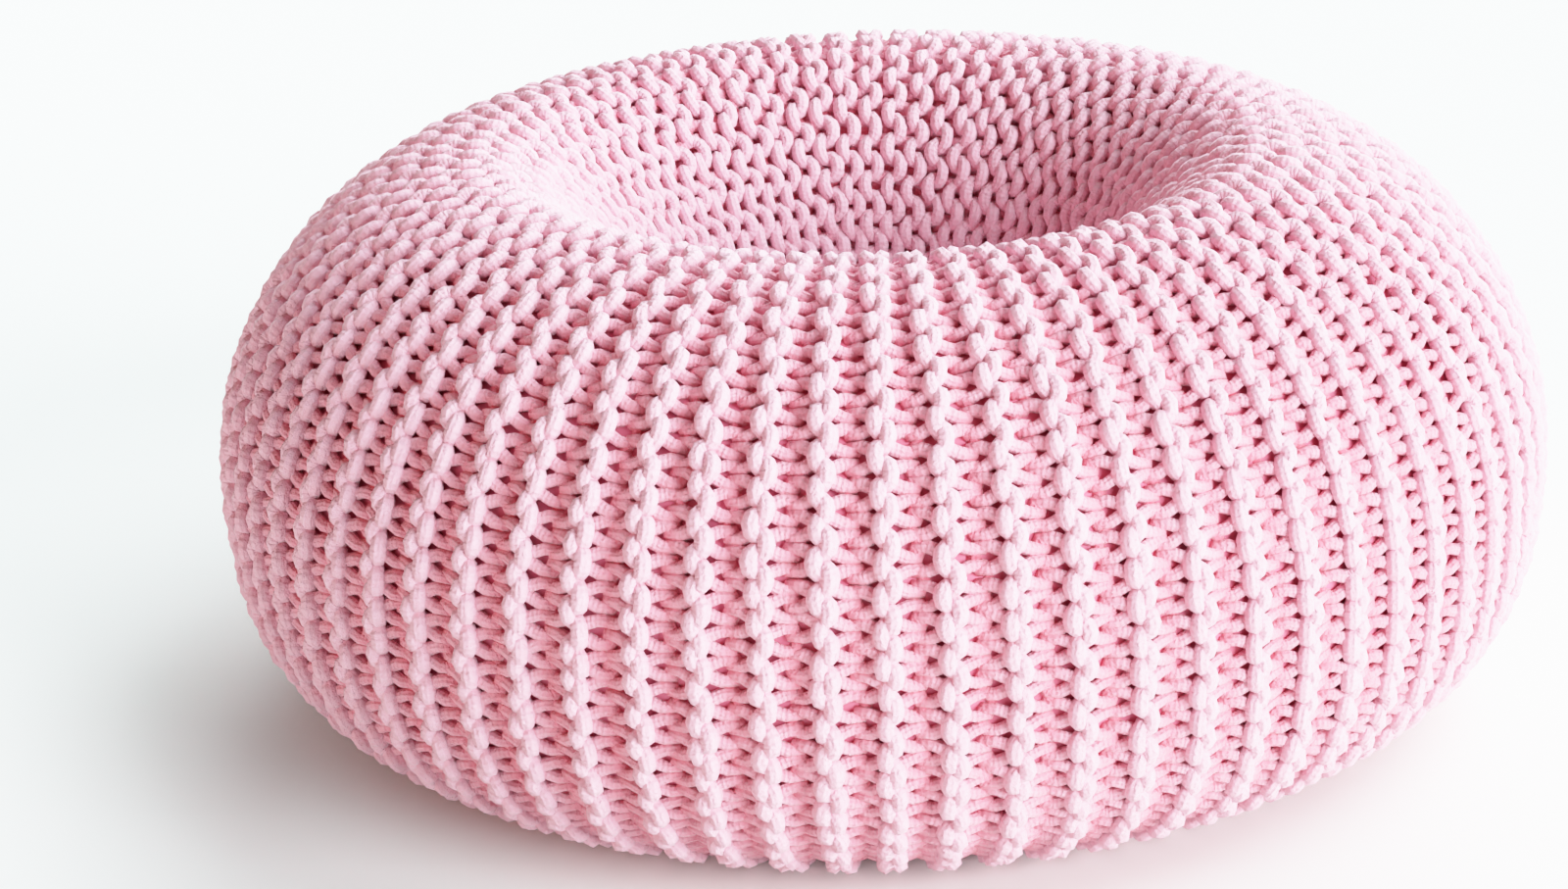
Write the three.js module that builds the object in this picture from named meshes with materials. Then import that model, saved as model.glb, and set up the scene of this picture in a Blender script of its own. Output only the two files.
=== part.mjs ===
// Knitted ring pouf: one filled ring in a garter-knit skin, lying on its flat base.
// The ridges of the knit run out of the hole, over the crest and down the outside.
// Millimetres, +Z up, origin at the centre of the base.
import * as THREE from "three";

// Driving dimensions
const OUTER_RADIUS = 375; // widest line of the ring, over the ridges
const CREST_RADIUS = 217; // top line of the ring
const THROAT_RADIUS = 107; // narrowest line of the hole
const HEIGHT = 313;
const BELLY_HEIGHT = 145; // height of the widest line
const THROAT_HEIGHT = 139; // height of the narrowest line
const BASE_SQUASH = 4; // how far the floor presses the filled section flat
const RIDGE_COUNT = 72;
const RIDGE_DEPTH = 7.5; // from the top of a ridge to the stitches between two ridges
const RIDGE_FULL_RADIUS = 240; // further in, the ridges crowd together and get shallower
const RIDGE_FADE_HEIGHT = 26; // the floor presses the ridges flat, and they are whole at this height

// Fineness of the surface
const COLUMNS_PER_RIDGE = 2;
const SECTION_STEPS = 34;
const TRACE_STEPS = 1200;

const YARN_PINK = "#f3bccb";
const YARN_ROUGHNESS = 0.9;

// The section in four quarters, each part of a superellipse that runs from its waist,
// the widest or narrowest line, to its pole, the crest or the base. Power 2 is an ellipse,
// a higher one is squarer, a lower one is straighter.
const QUARTERS = [
  { part: "shoulder", waistRadius: OUTER_RADIUS, waistHeight: BELLY_HEIGHT, poleHeight: HEIGHT, power: 1.87 },
  { part: "funnel", waistRadius: THROAT_RADIUS, waistHeight: THROAT_HEIGHT, poleHeight: HEIGHT, power: 1.75 },
  { part: "inner foot", waistRadius: THROAT_RADIUS, waistHeight: THROAT_HEIGHT, poleHeight: -BASE_SQUASH, power: 2 },
  { part: "outer foot", waistRadius: OUTER_RADIUS, waistHeight: BELLY_HEIGHT, poleHeight: -BASE_SQUASH, power: 2.7 },
];

// A point of the section, x = radius and y = height, at a turn from 0 to 1:
// belly, crest, throat, base and back to the belly.
function sectionPoint(turn) {
  const quarter = QUARTERS[Math.floor(turn * QUARTERS.length) % QUARTERS.length];
  const angle = turn * 2 * Math.PI;
  const outward = Math.abs(Math.cos(angle)) ** (2 / quarter.power);
  const upward = Math.abs(Math.sin(angle)) ** (2 / quarter.power);
  const radius = CREST_RADIUS + (quarter.waistRadius - CREST_RADIUS) * outward;
  const height = quarter.waistHeight + (quarter.poleHeight - quarter.waistHeight) * upward;
  return new THREE.Vector2(radius, Math.max(0, height));
}

// The closed section as evenly spaced points, each with its outward normal.
function evenSection() {
  const traced = [];
  for (let i = 0; i <= TRACE_STEPS; i += 1) {
    traced.push(sectionPoint(i / TRACE_STEPS));
  }
  const lengths = [0];
  for (let i = 1; i <= TRACE_STEPS; i += 1) {
    lengths.push(lengths[i - 1] + traced[i].distanceTo(traced[i - 1]));
  }
  const girth = lengths[TRACE_STEPS];
  const stations = [];
  let k = 0;
  for (let i = 0; i < SECTION_STEPS; i += 1) {
    const wanted = (girth * i) / SECTION_STEPS;
    while (lengths[k + 1] < wanted) {
      k += 1;
    }
    const share = (wanted - lengths[k]) / (lengths[k + 1] - lengths[k]);
    const along = traced[k + 1].clone().sub(traced[k]).normalize();
    stations.push({
      point: traced[k].clone().lerp(traced[k + 1], share),
      normal: new THREE.Vector2(along.y, -along.x),
    });
  }
  return stations;
}

// How deep the valley between two ridges is at a point of the section.
function valleyDepth(point) {
  const crowding = Math.min(1, point.x / RIDGE_FULL_RADIUS);
  const lifted = THREE.MathUtils.smoothstep(point.y, 0, RIDGE_FADE_HEIGHT);
  return RIDGE_DEPTH * crowding * lifted;
}

// The section swept round the axis, in turn on the top of a ridge and in a valley.
function ribbedRing() {
  const stations = evenSection();
  const columns = RIDGE_COUNT * COLUMNS_PER_RIDGE;
  const positions = [];
  const triangles = [];
  for (let c = 0; c < columns; c += 1) {
    const angle = (2 * Math.PI * c) / columns;
    const inValley = c % COLUMNS_PER_RIDGE !== 0;
    for (const { point, normal } of stations) {
      const sunk = inValley ? valleyDepth(point) : 0;
      const radius = point.x - normal.x * sunk;
      const height = point.y - normal.y * sunk;
      positions.push(radius * Math.cos(angle), radius * Math.sin(angle), height);
    }
  }
  for (let c = 0; c < columns; c += 1) {
    const here = c * SECTION_STEPS;
    const next = ((c + 1) % columns) * SECTION_STEPS;
    for (let i = 0; i < SECTION_STEPS; i += 1) {
      const up = (i + 1) % SECTION_STEPS;
      triangles.push(here + i, next + i, next + up);
      triangles.push(here + i, next + up, here + up);
    }
  }
  const geometry = new THREE.BufferGeometry();
  geometry.setAttribute("position", new THREE.Float32BufferAttribute(positions, 3));
  geometry.setIndex(triangles);
  geometry.computeVertexNormals();
  return geometry;
}

const yarn = new THREE.MeshStandardMaterial({ color: YARN_PINK, roughness: YARN_ROUGHNESS, metalness: 0 });

const knitRing = new THREE.Mesh(ribbedRing(), yarn);
knitRing.name = "knit_ring";

const pouf = new THREE.Group();
pouf.add(knitRing);

export default pouf;
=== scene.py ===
"""Knitted ring pouf: a filled ring in garter knit of thick pink cotton cord, on a pale floor.

The knit is made stitch by stitch. Each course, one row of loops, runs right round the ring's section.
The courses lie side by side round the ring, and every second one turns its loops the other way,
which raises the ridges.
"""
import math

import bpy
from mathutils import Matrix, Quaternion, Vector


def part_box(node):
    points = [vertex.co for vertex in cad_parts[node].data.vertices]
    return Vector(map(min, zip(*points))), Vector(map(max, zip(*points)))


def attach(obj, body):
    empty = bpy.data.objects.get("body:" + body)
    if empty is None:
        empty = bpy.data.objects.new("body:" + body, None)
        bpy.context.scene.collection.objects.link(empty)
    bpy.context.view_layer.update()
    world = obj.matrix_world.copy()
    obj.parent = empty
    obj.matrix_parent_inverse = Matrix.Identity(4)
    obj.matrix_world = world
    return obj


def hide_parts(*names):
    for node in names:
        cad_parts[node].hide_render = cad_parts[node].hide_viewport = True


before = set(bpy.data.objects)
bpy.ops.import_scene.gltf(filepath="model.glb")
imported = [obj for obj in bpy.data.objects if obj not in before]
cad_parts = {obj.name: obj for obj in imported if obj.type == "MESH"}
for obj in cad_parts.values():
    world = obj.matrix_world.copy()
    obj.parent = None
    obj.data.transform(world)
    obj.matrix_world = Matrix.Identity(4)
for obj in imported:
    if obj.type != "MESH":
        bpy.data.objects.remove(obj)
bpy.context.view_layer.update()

MM = 0.001
FULL_TURN = 2 * math.pi

# The ring's section
OUTER_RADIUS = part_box("knit_ring")[1].x
HEIGHT = 313 * MM
CREST_RADIUS = 217 * MM
THROAT_RADIUS = 107 * MM
BELLY_HEIGHT = 145 * MM
THROAT_HEIGHT = 139 * MM
BASE_SQUASH = 4 * MM
SECTION_POINTS = 480
TRACE_STEPS = 4000

# The knit: its courses, its stitches and its cord
RIDGES = 72
COURSES = 2 * RIDGES
SECTORS = 8
COURSES_PER_SECTOR = COURSES // SECTORS
STITCH_WIDTH = 21.0 * MM
STEPS_PER_STITCH = 12
THROAT_STRETCH = 0.176
CORD_DIAMETER = 8.0 * MM
CORD_SIDES = 6

# One loop: how far it reaches over its neighbours, rises out of the knit and swings along its course.
# Where the courses lie further apart, it reaches and swings more and its top is more peaked,
# and the cord is plumper on the tops and thinner in the legs.
LOOP_REACH = 4.4 * MM
REACH_GROWTH = 0.42
LOOP_SWING = 0.086
SWING_GROWTH = 9.4
LOOP_RISE = 5.8 * MM
RISE_SHARE = 0.86
LOOP_PEAK = 0.45
PEAK_GROWTH = 0.35
CORD_PLUMP = 0.08
CORD_PINCH = 0.12
CLOSED_PITCH = 6.0 * MM
OPENING_PITCH = 10.4 * MM
POINT_CROWDING = 0.35

# Unevenness of hand knitting: from stitch to stitch, and a slow wander over the whole ring
SEED = 7
LOOSE_SCALE = 0.55
LOOSE_ALONG = 0.72
LOOSE_REACH = 0.65
LOOSE_RISE = 0.6
LOOSE_THICKNESS = 0.4
WANDER_SCALE = 0.06
WANDER_SEED = 310.0
WANDER_ALONG = 0.9
WANDER_ACROSS = 0.9
NOISE_MIDDLE = 0.5

# The inner face of the knit, whose deeper pink is painted shade in the gaps between the loops
BACK_DEPTH = 2 * LOOP_RISE + 0.25 * CORD_DIAMETER
BACK_ROWS = 96

# The cotton: its pinks, the deeper ones painted shade in recesses and gaps, its patches of tone, its
# fibres and its plait
PALE_PINK = (0.94, 0.505, 0.60, 1.0)
PAINTED_RECESS_PINK = (0.92, 0.18, 0.24, 1.0)
PAINTED_GAP_SHADE_PINK = (0.86, 0.22, 0.32, 1.0)
DEPTH_SHADE_POWER = 0.62
PATCH_SCALE = 70.0
PATCH_DETAIL = 2.0
PATCH_TONE = 0.3
FIBRE_SCALE = 420.0
FIBRE_DETAIL = 3.0
FIBRE_ROUGHNESS = 0.7
FIBRE_TONE = 0.5
FIBRE_RELIEF = 1.5
PLAITS_PER_COURSE = 500
PLAITS_ROUND_CORD = 4
# The plait's crevices are darker: painted shade
PLAIT_CREVICE_SHADE = 0.06
PLAIT_RELIEF = 0.3
RELIEF_HEIGHT = 1.0 * MM
COTTON_ROUGHNESS = 0.9
COTTON_GLOSS = 0.2
COTTON_SHEEN = 0.3
SHEEN_ROUGHNESS = 0.5
SHADE_ROUGHNESS = 0.95

# The photograph's frame and the view in it
PHOTO_WIDTH = 1600
FOCAL_PX = 4039
RING_CENTRE_PX = (897.5, 406.0)
PHOTO_CENTRE_PX = (800.0, 453.5)
VIEW_DISTANCE = 6.0 * OUTER_RADIUS
VIEW_ELEVATION = math.radians(19.8)
VIEW_ROLL = 0.030
SENSOR_WIDTH = 36.0

# The floor: a faint cool glow, which fades out under the pouf, keeps its shadow soft and grey
FLOOR_REACH = 30.0
FLOOR_COLOUR = (0.96, 0.92, 0.865, 1.0)
FLOOR_GLOW = (0.01, 0.118, 0.114, 1.0)
GLOW_STARTS = 0.265
GLOW_IS_FULL = 0.37

# The studio: each light's direction and spread in degrees, its strength and its colour
ROOM_LIGHT = 0.05
ROOM_COLOUR = (1.0, 0.55, 0.48, 1.0)
LIGHTS = (
    ("window_front", -40, 15, 36, 6.9, (0.86, 0.915, 1.0)),
    ("window_high", 15, 50, 45, 3.15, (0.78, 0.935, 1.0)),
    ("window_back", 72, 26, 50, 5.4, (0.80, 0.935, 1.0)),
    ("fill_left", -160, 8, 50, 1.15, (1.0, 0.40, 0.31)),
)
# Bright light is held back softly, as on film: light, as a share of the brightest, against tone
BRIGHTEST = 2.5
TONES = ((0.24, 0.59), (0.40, 0.80), (0.64, 0.935))
BRIGHTEST_TONE = 0.975


class Value:
    """A number in a node tree. Arithmetic on it adds Math nodes, so a formula reads as it is written."""

    def __init__(self, tree, socket):
        self.tree = tree
        self.socket = socket

    def math(self, operation, *others):
        node = self.tree.nodes.new("ShaderNodeMath")
        node.operation = operation
        for port, value in zip(node.inputs, (self, *others)):
            plug(self.tree, value, port)
        return Value(self.tree, node.outputs[0])

    def __add__(self, other):
        return self.math("ADD", other)

    def __radd__(self, other):
        return self.math("ADD", other)

    def __sub__(self, other):
        return self.math("SUBTRACT", other)

    def __mul__(self, other):
        return self.math("MULTIPLY", other)

    def __truediv__(self, other):
        return self.math("DIVIDE", other)

    def __pow__(self, other):
        return self.math("POWER", other)

    def sin(self):
        return self.math("SINE")

    def cos(self):
        return self.math("COSINE")

    def fraction(self):
        return self.math("FRACT")

    def at_least(self, limit):
        return self.math("MAXIMUM", limit)

    def below(self, limit):
        return self.math("LESS_THAN", limit)

    def above(self, limit):
        return self.math("GREATER_THAN", limit)


def plug(tree, value, port):
    """Gives a node's input a socket, a Value or a plain number."""
    if isinstance(value, Value):
        value = value.socket
    if isinstance(value, bpy.types.NodeSocket):
        tree.links.new(value, port)
    else:
        port.default_value = value


def add_node(tree, kind, inputs=None, **settings):
    """A new node with its settings and its inputs, the inputs by name."""
    node = tree.nodes.new(kind)
    for name, value in settings.items():
        setattr(node, name, value)
    for name, value in (inputs or {}).items():
        plug(tree, value, node.inputs[name])
    return node


def vector(tree, x, y, z):
    return add_node(tree, "ShaderNodeCombineXYZ", {"X": x, "Y": y, "Z": z}).outputs[0]


def parts(tree, socket):
    """The three numbers of a vector."""
    node = add_node(tree, "ShaderNodeSeparateXYZ", {"Vector": socket})
    return [Value(tree, output) for output in node.outputs]


def stored(tree, name):
    """A number that was stored on the mesh or the curve."""
    node = add_node(tree, "GeometryNodeInputNamedAttribute", {"Name": name}, data_type="FLOAT")
    return Value(tree, node.outputs["Attribute"])


def store(tree, geometry, name, value, domain="POINT", data_type="FLOAT"):
    inputs = {"Geometry": geometry, "Name": name, "Value": value}
    node = add_node(tree, "GeometryNodeStoreNamedAttribute", inputs, domain=domain, data_type=data_type)
    return node.outputs[0]


def circle(tree, points):
    """A closed round line of radius 1."""
    inputs = {"Resolution": points, "Radius": 1.0}
    return add_node(tree, "GeometryNodeCurvePrimitiveCircle", inputs, mode="RADIUS").outputs["Curve"]


def unevenness(tree, where, fourth, scale):
    """Three smooth random numbers from about -0.5 to 0.5 at a place in the knit.

    The place has four numbers, because the knit closes on itself both ways.
    """
    inputs = {"Vector": where, "W": fourth, "Scale": scale, "Detail": 1.0}
    noise = add_node(tree, "ShaderNodeTexNoise", inputs, noise_dimensions="4D")
    return [part - NOISE_MIDDLE for part in parts(tree, noise.outputs["Color"])]


# Each quarter of the section: the radius and height of its waist, the height of its pole and its power
QUARTERS = (
    ("shoulder", OUTER_RADIUS, BELLY_HEIGHT, HEIGHT, 1.87),
    ("funnel", THROAT_RADIUS, THROAT_HEIGHT, HEIGHT, 1.75),
    ("inner foot", THROAT_RADIUS, THROAT_HEIGHT, -BASE_SQUASH, 2.0),
    ("outer foot", OUTER_RADIUS, BELLY_HEIGHT, -BASE_SQUASH, 2.7),
)


def section_point(turn):
    """Radius and height of the section at a turn from 0 to 1: belly, crest, throat, base, belly."""
    quarter = QUARTERS[int(turn * len(QUARTERS)) % len(QUARTERS)]
    _, waist_radius, waist_height, pole_height, power = quarter
    angle = FULL_TURN * turn
    outward = abs(math.cos(angle)) ** (2 / power)
    upward = abs(math.sin(angle)) ** (2 / power)
    radius = CREST_RADIUS + (waist_radius - CREST_RADIUS) * outward
    height = waist_height + (pole_height - waist_height) * upward
    return Vector((radius, 0.0, max(0.0, height)))


def even_section(count):
    """The closed section as evenly spaced points, and its girth."""
    trace = [section_point(i / TRACE_STEPS) for i in range(TRACE_STEPS + 1)]
    lengths = [0.0]
    for before, after in zip(trace, trace[1:]):
        lengths.append(lengths[-1] + (after - before).length)
    points = []
    k = 0
    for i in range(count):
        wanted = lengths[-1] * i / count
        while lengths[k + 1] < wanted:
            k += 1
        share = (wanted - lengths[k]) / (lengths[k + 1] - lengths[k])
        points.append(trace[k].lerp(trace[k + 1], share))
    return points, lengths[-1]


SECTION, GIRTH = even_section(SECTION_POINTS)
STITCHES = round(GIRTH / STITCH_WIDTH)


def section_normals(points):
    """Outward normals of the closed section."""
    normals = []
    for i, _ in enumerate(points):
        along = (points[(i + 1) % len(points)] - points[i - 1]).normalized()
        normals.append(Vector((along.z, 0.0, -along.x)))
    return normals


def section_curve():
    """The section as a closed curve, which the knit's courses follow."""
    curve = bpy.data.curves.new("section", "CURVE")
    curve.dimensions = "3D"
    spline = curve.splines.new("POLY")
    spline.points.add(len(SECTION) - 1)
    for point, place in zip(spline.points, SECTION):
        point.co = (*place, 1.0)
    spline.use_cyclic_u = True
    return curve


def new_object(name, data):
    obj = bpy.data.objects.new(name, data)
    bpy.context.scene.collection.objects.link(obj)
    return obj


def on_section(tree, section, along, stretch):
    """Radius, height and direction of the section at a place along it.

    The stitches are widest in the throat.
    """
    wave = (along * FULL_TURN).sin() * stretch / FULL_TURN
    factor = (along - wave + 1.0).fraction()
    at = add_node(tree, "GeometryNodeSampleCurve", {"Curves": section, "Factor": factor}, mode="FACTOR")
    radius, _, height = parts(tree, at.outputs["Position"])
    along_r, _, along_z = parts(tree, at.outputs["Tangent"])
    return radius, height, along_r, along_z


def unwrapped(tree, name):
    """A stored number that runs from 0 to 1 round a closed line, with 1 for 0 where the last face ends.

    The last face has corners near 1 and at 0, so its mean is well above that of the first face.
    """
    first_face_limit = 0.25
    nearly_zero = 0.0001
    value = stored(tree, name)
    mean = add_node(tree, "GeometryNodeFieldOnDomain", {"Value": value},
                    domain="FACE", data_type="FLOAT")
    last_face = Value(tree, mean.outputs[0]).above(first_face_limit)
    return value + value.below(nearly_zero) * last_face


def knit_tree():
    """Nodes that knit some courses on the section curve: one closed cord of loops for each course."""
    tree = bpy.data.node_groups.new("garter_knit", "GeometryNodeTree")
    wanted = (
        ("Section", "NodeSocketGeometry", None),
        ("Courses", "NodeSocketInt", COURSES_PER_SECTOR),
        ("First Course", "NodeSocketInt", 0),
        ("Courses Round", "NodeSocketInt", COURSES),
        ("Stitches", "NodeSocketInt", STITCHES),
        ("Steps per Stitch", "NodeSocketInt", STEPS_PER_STITCH),
        ("Cord Diameter", "NodeSocketFloat", CORD_DIAMETER),
        ("Cord Plump", "NodeSocketFloat", CORD_PLUMP),
        ("Cord Pinch", "NodeSocketFloat", CORD_PINCH),
        ("Cord Sides", "NodeSocketInt", CORD_SIDES),
        ("Loop Rise", "NodeSocketFloat", LOOP_RISE),
        ("Loop Reach", "NodeSocketFloat", LOOP_REACH),
        ("Loop Swing", "NodeSocketFloat", LOOP_SWING),
        ("Swing Growth", "NodeSocketFloat", SWING_GROWTH),
        ("Throat Stretch", "NodeSocketFloat", THROAT_STRETCH),
        ("Seed", "NodeSocketFloat", SEED),
        ("Cord", "NodeSocketMaterial", None),
    )
    for name, kind, default in wanted:
        socket = tree.interface.new_socket(name, in_out="INPUT", socket_type=kind)
        if default is not None:
            socket.default_value = default
    tree.interface.new_socket("Knit", in_out="OUTPUT", socket_type="NodeSocketGeometry")
    given = tree.nodes.new("NodeGroupInput").outputs
    numbers = ("NodeSocketInt", "NodeSocketFloat")
    size = {name: Value(tree, given[name]) for name, kind, _ in wanted if kind in numbers}
    cord_radius = size["Cord Diameter"] * 0.5

    # One closed line for each course, with the place along it and its number stored
    line = circle(tree, size["Stitches"] * size["Steps per Stitch"])
    copies = {"Geometry": line, "Amount": size["Courses"]}
    courses = add_node(tree, "GeometryNodeDuplicateElements", copies, domain="SPLINE")
    factor = tree.nodes.new("GeometryNodeSplineParameter").outputs["Factor"]
    knit = store(tree, courses.outputs["Geometry"], "along", factor)
    knit = store(tree, knit, "course", Value(tree, courses.outputs["Duplicate Index"]))
    along = stored(tree, "along")
    course = stored(tree, "course") + size["First Course"]

    # Small unevenness of hand knitting
    around = course / size["Courses Round"] * FULL_TURN
    round_section = along * FULL_TURN
    ring_size = size["Courses Round"] / FULL_TURN
    section_size = size["Stitches"] / FULL_TURN
    across_ring, along_ring = around.cos() * ring_size, around.sin() * ring_size
    place = vector(tree, across_ring, along_ring, round_section.cos() * section_size)
    fourth = round_section.sin() * section_size + size["Seed"]
    loose = unevenness(tree, place, fourth, LOOSE_SCALE)
    wander = unevenness(tree, place, fourth + WANDER_SEED, WANDER_SCALE)

    # The loop: across the course and out of the surface by the cosine, along it with a swing.
    # The points crowd towards the outer half of each loop, which is the half that shows.
    turned = (course * math.pi).cos()
    even_phase = along * size["Stitches"] * FULL_TURN
    phase = even_phase - turned * even_phase.sin() * POINT_CROWDING
    lean = phase.cos()
    radius, _, _, _ = on_section(tree, given["Section"], along, size["Throat Stretch"])
    pitch = radius * FULL_TURN / size["Courses Round"]
    swing = (phase * 2.0).sin() * (size["Loop Swing"] + pitch * size["Swing Growth"])
    shift = loose[0] * LOOSE_ALONG + wander[0] * WANDER_ALONG
    spot = (phase / FULL_TURN + swing + shift) / size["Stitches"]
    radius, height, along_r, along_z = on_section(tree, given["Section"], spot, size["Throat Stretch"])
    reach = pitch * REACH_GROWTH + size["Loop Reach"]
    across = reach * lean * (1.0 + loose[1] * LOOSE_REACH) + pitch * wander[1] * WANDER_ACROSS

    # How thick the cord is and how far out it lies. The tops of the loops stay a little under the
    # ring's surface, which leaves room for their unevenness.
    opened = ((pitch - CLOSED_PITCH) / OPENING_PITCH).at_least(0.0)
    plumped = turned * lean * size["Cord Plump"] + (lean * lean * 2.0 - 1.0) * size["Cord Pinch"]
    thickness = cord_radius * (plumped * opened + 1.0 + loose[2] * LOOSE_THICKNESS)
    peaked = opened * PEAK_GROWTH + LOOP_PEAK
    rise = turned * lean * (1.0 + (lean * lean - 1.0) * peaked)
    fullest = (size["Cord Plump"] + size["Cord Pinch"]) * opened + 1.0
    sunk = size["Loop Rise"] + cord_radius * fullest
    out = rise * size["Loop Rise"] * (RISE_SHARE + loose[1] * LOOSE_RISE) - sunk

    angle = (course - 0.5) / size["Courses Round"] * FULL_TURN + across / radius
    place_r = radius + along_z * out
    place_z = height - along_r * out
    position = vector(tree, place_r * angle.cos(), place_r * angle.sin(), place_z)
    # How far out the cord lies, 0 deep in and 1 on the tops: the cord's colour deepens with depth as
    # painted shade
    knit = store(tree, knit, "lift", turned * lean * 0.5 + 0.5)
    knit = store(tree, knit, "thickness", thickness)
    knit = add_node(tree, "GeometryNodeSetPosition", {"Geometry": knit, "Position": position}).outputs[0]
    run = tree.nodes.new("GeometryNodeSplineParameter").outputs["Factor"]
    knit = store(tree, knit, "run", run)

    # The cord round that line
    rim = tree.nodes.new("GeometryNodeSplineParameter").outputs["Factor"]
    ring = store(tree, circle(tree, size["Cord Sides"]), "girth", rim)
    sweep = {"Curve": knit, "Profile Curve": ring, "Scale": stored(tree, "thickness")}
    mesh = add_node(tree, "GeometryNodeCurveToMesh", sweep).outputs[0]
    mesh = add_node(tree, "GeometryNodeSetShadeSmooth", {"Geometry": mesh}).outputs[0]

    # Flat layout of the cord's surface, a strip for each course, and the place in its plait
    strip = (stored(tree, "course") + unwrapped(tree, "girth")) / size["Courses"]
    layout = vector(tree, unwrapped(tree, "along"), strip, 0.0)
    mesh = store(tree, mesh, "OFBake", layout, domain="CORNER", data_type="FLOAT2")
    plait = vector(tree, unwrapped(tree, "run"), unwrapped(tree, "girth"), 0.0)
    mesh = store(tree, mesh, "plait", plait, domain="CORNER", data_type="FLOAT_VECTOR")
    mesh = add_node(tree, "GeometryNodeRealizeInstances", {"Geometry": mesh}).outputs[0]
    finish = {"Geometry": mesh, "Material": given["Cord"]}
    mesh = add_node(tree, "GeometryNodeSetMaterial", finish).outputs[0]
    tree.links.new(mesh, tree.nodes.new("NodeGroupOutput").inputs[0])
    return tree


def knit_sector(tree, number, material):
    """One part of the ring's courses as a plain mesh."""
    source = new_object("section_line", section_curve())
    modifier = source.modifiers.new("knit", "NODES")
    modifier.node_group = tree
    first = number * COURSES_PER_SECTOR
    given = {"Courses": COURSES_PER_SECTOR, "First Course": first, "Cord": material}
    for item in tree.interface.items_tree:
        if item.in_out == "INPUT" and item.name in given:
            modifier[item.identifier] = given[item.name]
    evaluated = source.evaluated_get(bpy.context.evaluated_depsgraph_get())
    mesh = bpy.data.meshes.new_from_object(evaluated)
    mesh.name = f"knit_sector_{number + 1}"
    bpy.data.objects.remove(source)
    return new_object(mesh.name, mesh)


def knit_back(material):
    """The inner face of the knit, which shows between the loops: the ring's form a little way in."""
    points, _ = even_section(BACK_ROWS)
    inner = [p - n * BACK_DEPTH for p, n in zip(points, section_normals(points))]
    vertices = []
    for c in range(COURSES):
        angle = FULL_TURN * c / COURSES
        for p in inner:
            vertices.append((p.x * math.cos(angle), p.x * math.sin(angle), p.z))
    faces = []
    for c in range(COURSES):
        for i in range(BACK_ROWS):
            here, there = c * BACK_ROWS, (c + 1) % COURSES * BACK_ROWS
            up = (i + 1) % BACK_ROWS
            faces.append((here + i, there + i, there + up, here + up))
    mesh = bpy.data.meshes.new("knit_back")
    mesh.from_pydata(vertices, [], faces)
    mesh.shade_smooth()
    # Its material's deeper pink is painted shade in the gaps between the loops
    mesh.materials.append(material)
    return new_object("knit_back", mesh)


def new_material(name):
    material = bpy.data.materials.new(name)
    material.use_nodes = True
    return material, material.node_tree, material.node_tree.nodes["Principled BSDF"]


def cord_tone():
    """Shader group: the cord's colour and its relief.

    The colour is paler on the loops that stand out and deeper in the gaps and the plait's crevices,
    which is painted shade.
    """
    tree = bpy.data.node_groups.new("cord_tone", "ShaderNodeTree")
    tree.interface.new_socket("Lift", in_out="INPUT", socket_type="NodeSocketFloat")
    tree.interface.new_socket("Place", in_out="INPUT", socket_type="NodeSocketVector")
    tree.interface.new_socket("Plait", in_out="INPUT", socket_type="NodeSocketVector")
    tree.interface.new_socket("Color", in_out="OUTPUT", socket_type="NodeSocketColor")
    tree.interface.new_socket("Relief", in_out="OUTPUT", socket_type="NodeSocketFloat")
    given = tree.nodes.new("NodeGroupInput").outputs
    result = tree.nodes.new("NodeGroupOutput").inputs

    patches = {"Vector": given["Place"], "Scale": PATCH_SCALE, "Detail": PATCH_DETAIL}
    patches = add_node(tree, "ShaderNodeTexNoise", patches)
    fibres = {"Vector": given["Place"], "Scale": FIBRE_SCALE, "Detail": FIBRE_DETAIL,
              "Roughness": FIBRE_ROUGHNESS}
    fibres = add_node(tree, "ShaderNodeTexNoise", fibres)
    mottle = Value(tree, patches.outputs["Fac"]) - NOISE_MIDDLE
    fuzz = Value(tree, fibres.outputs["Fac"]) - NOISE_MIDDLE

    # The plait: strands that wind round the cord both ways and cross, with painted shade in the crevices
    # between them
    run, girth, _ = parts(tree, given["Plait"])
    turns = girth * (FULL_TURN * PLAITS_ROUND_CORD)
    strides = run * (FULL_TURN * PLAITS_PER_COURSE)
    strands = (strides + turns).sin() * (strides - turns).sin()

    # Deeper where the cord lies low and in the plait's crevices: painted shade. Patches and fibres vary
    # the tone at random.
    painted_depth_shade = Value(tree, given["Lift"]) ** DEPTH_SHADE_POWER
    painted_shade_and_tone = painted_depth_shade + mottle * PATCH_TONE + fuzz * FIBRE_TONE + strands * PLAIT_CREVICE_SHADE
    relief = strands * PLAIT_RELIEF + fuzz * FIBRE_RELIEF
    blend = add_node(tree, "ShaderNodeMix", data_type="RGBA")
    factor, shaded, pale, mixed = blend.inputs[0], blend.inputs[6], blend.inputs[7], blend.outputs[2]
    plug(tree, painted_shade_and_tone, factor)
    shaded.default_value = PAINTED_RECESS_PINK
    pale.default_value = PALE_PINK
    tree.links.new(mixed, result["Color"])
    plug(tree, relief, result["Relief"])
    return tree


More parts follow.
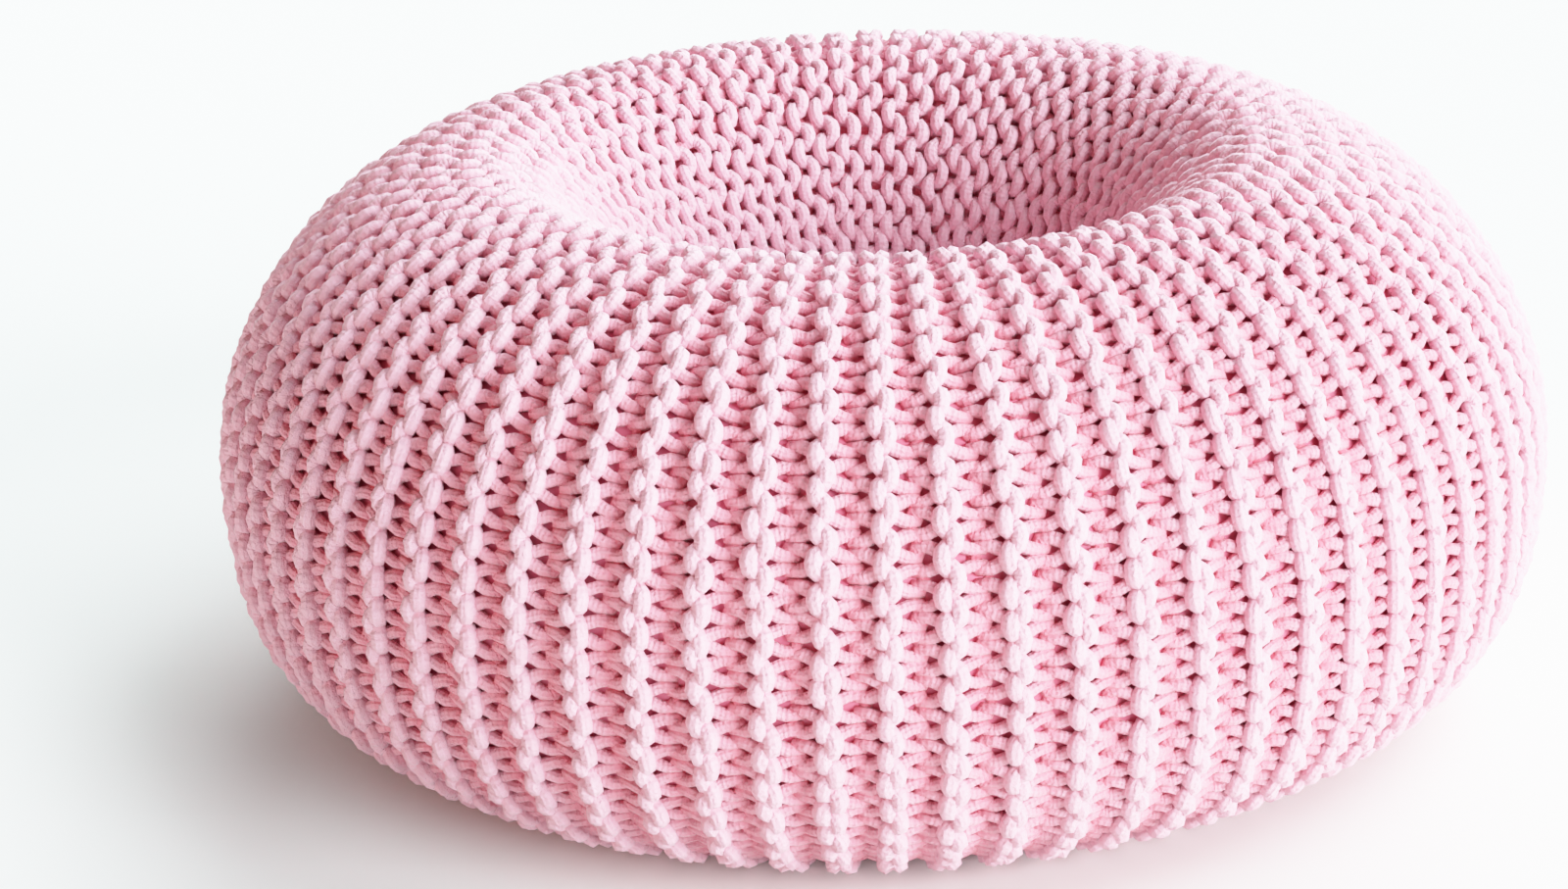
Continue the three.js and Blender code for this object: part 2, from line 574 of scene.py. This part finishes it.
def cotton_cord():
    material, tree, shader = new_material("cotton_cord")
    # The cord's colour deepens as painted shade where it lies low in the knit
    lift = add_node(tree, "ShaderNodeAttribute", attribute_name="lift")
    plait = add_node(tree, "ShaderNodeAttribute", attribute_name="plait")
    place = tree.nodes.new("ShaderNodeTexCoord")
    tone = add_node(tree, "ShaderNodeGroup", node_tree=cord_tone())
    plug(tree, lift.outputs["Fac"], tone.inputs["Lift"])
    plug(tree, place.outputs["Object"], tone.inputs["Place"])
    plug(tree, plait.outputs["Vector"], tone.inputs["Plait"])
    relief = {"Height": tone.outputs["Relief"], "Strength": 1.0, "Distance": RELIEF_HEIGHT}
    relief = add_node(tree, "ShaderNodeBump", relief)
    plug(tree, tone.outputs["Color"], shader.inputs["Base Color"])
    plug(tree, relief.outputs["Normal"], shader.inputs["Normal"])
    shader.inputs["Roughness"].default_value = COTTON_ROUGHNESS
    shader.inputs["Specular IOR Level"].default_value = COTTON_GLOSS
    shader.inputs["Sheen Weight"].default_value = COTTON_SHEEN
    shader.inputs["Sheen Roughness"].default_value = SHEEN_ROUGHNESS
    return material


def painted_gap_shade():
    material, _, shader = new_material("painted_gap_shade")
    # A deeper pink than the cord: painted shade in the gaps between the loops
    shader.inputs["Base Color"].default_value = PAINTED_GAP_SHADE_PINK
    shader.inputs["Roughness"].default_value = SHADE_ROUGHNESS
    return material


def pale_floor():
    mesh = bpy.data.meshes.new("floor")
    corners = [(x * FLOOR_REACH, y * FLOOR_REACH, 0) for x, y in ((-1, -1), (1, -1), (1, 1), (-1, 1))]
    mesh.from_pydata(corners, [], [(0, 1, 2, 3)])
    material, tree, shader = new_material("pale_floor")
    shader.inputs["Base Color"].default_value = FLOOR_COLOUR
    shader.inputs["Roughness"].default_value = 1.0
    shader.inputs["Specular IOR Level"].default_value = 0.0
    shader.inputs["Emission Color"].default_value = FLOOR_GLOW
    place = tree.nodes.new("ShaderNodeTexCoord").outputs["Object"]
    distance = add_node(tree, "ShaderNodeVectorMath", {"Vector": place}, operation="LENGTH")
    ramp = {"Value": distance.outputs["Value"], "From Min": GLOW_STARTS, "From Max": GLOW_IS_FULL}
    ramp = add_node(tree, "ShaderNodeMapRange", ramp, interpolation_type="SMOOTHSTEP")
    plug(tree, ramp.outputs["Result"], shader.inputs["Emission Strength"])
    mesh.materials.append(material)
    new_object("floor", mesh)


def soft_sun(name, azimuth, elevation, spread, strength, colour):
    """A far soft light from a direction in degrees."""
    lamp = bpy.data.lights.new(name, "SUN")
    lamp.energy = strength
    lamp.color = colour
    lamp.angle = math.radians(spread)
    turn, lift = math.radians(azimuth), math.radians(elevation)
    level = math.cos(lift)
    source = Vector((level * math.cos(turn), level * math.sin(turn), math.sin(lift)))
    light = new_object(name, lamp)
    light.rotation_mode = "QUATERNION"
    light.rotation_quaternion = (-source).to_track_quat("-Z", "Y")


def studio_light():
    world = bpy.data.worlds.new("studio")
    world.use_nodes = True
    background = world.node_tree.nodes["Background"]
    background.inputs["Color"].default_value = ROOM_COLOUR
    background.inputs["Strength"].default_value = ROOM_LIGHT
    bpy.context.scene.world = world
    for light in LIGHTS:
        soft_sun(*light)


def film_tone():
    """The curve by which the picture turns light into tone."""
    view = bpy.context.scene.view_settings
    view.view_transform = "Standard"
    view.use_curve_mapping = True
    view.curve_mapping.white_level = (BRIGHTEST, BRIGHTEST, BRIGHTEST)
    all_colours = view.curve_mapping.curves[3]
    all_colours.points[-1].location.y = BRIGHTEST_TONE
    for light, tone in TONES:
        all_colours.points.new(light, tone)
    view.curve_mapping.update()


def photo_camera():
    """The camera at the photograph's angle.

    It looks at the ring's middle, rolls, and turns to put the ring in its place in the frame.
    """
    lens = bpy.data.cameras.new("photo_camera")
    lens.sensor_width = SENSOR_WIDTH
    lens.lens = SENSOR_WIDTH * FOCAL_PX / PHOTO_WIDTH
    camera = new_object("photo_camera", lens)
    middle = Vector((0.0, 0.0, HEIGHT / 2))
    back = Vector((0.0, -math.cos(VIEW_ELEVATION), math.sin(VIEW_ELEVATION)))
    camera.location = middle + back * VIEW_DISTANCE
    left = math.atan((RING_CENTRE_PX[0] - PHOTO_CENTRE_PX[0]) / FOCAL_PX)
    down = math.atan((RING_CENTRE_PX[1] - PHOTO_CENTRE_PX[1]) / FOCAL_PX)
    look = (-back).to_track_quat("-Z", "Y")
    roll = Quaternion((0, 0, 1), -VIEW_ROLL)
    camera.rotation_mode = "QUATERNION"
    camera.rotation_quaternion = look @ roll @ Quaternion((0, 1, 0), left) @ Quaternion((1, 0, 0), down)
    bpy.context.scene.camera = camera


photo_camera()
pale_floor()
studio_light()
film_tone()

cord = cotton_cord()
knit = knit_tree()
pieces = [knit_sector(knit, number, cord) for number in range(SECTORS)]
back = knit_back(painted_gap_shade())
for piece in (*pieces, back):
    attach(piece, "root")
    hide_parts("knit_ring")
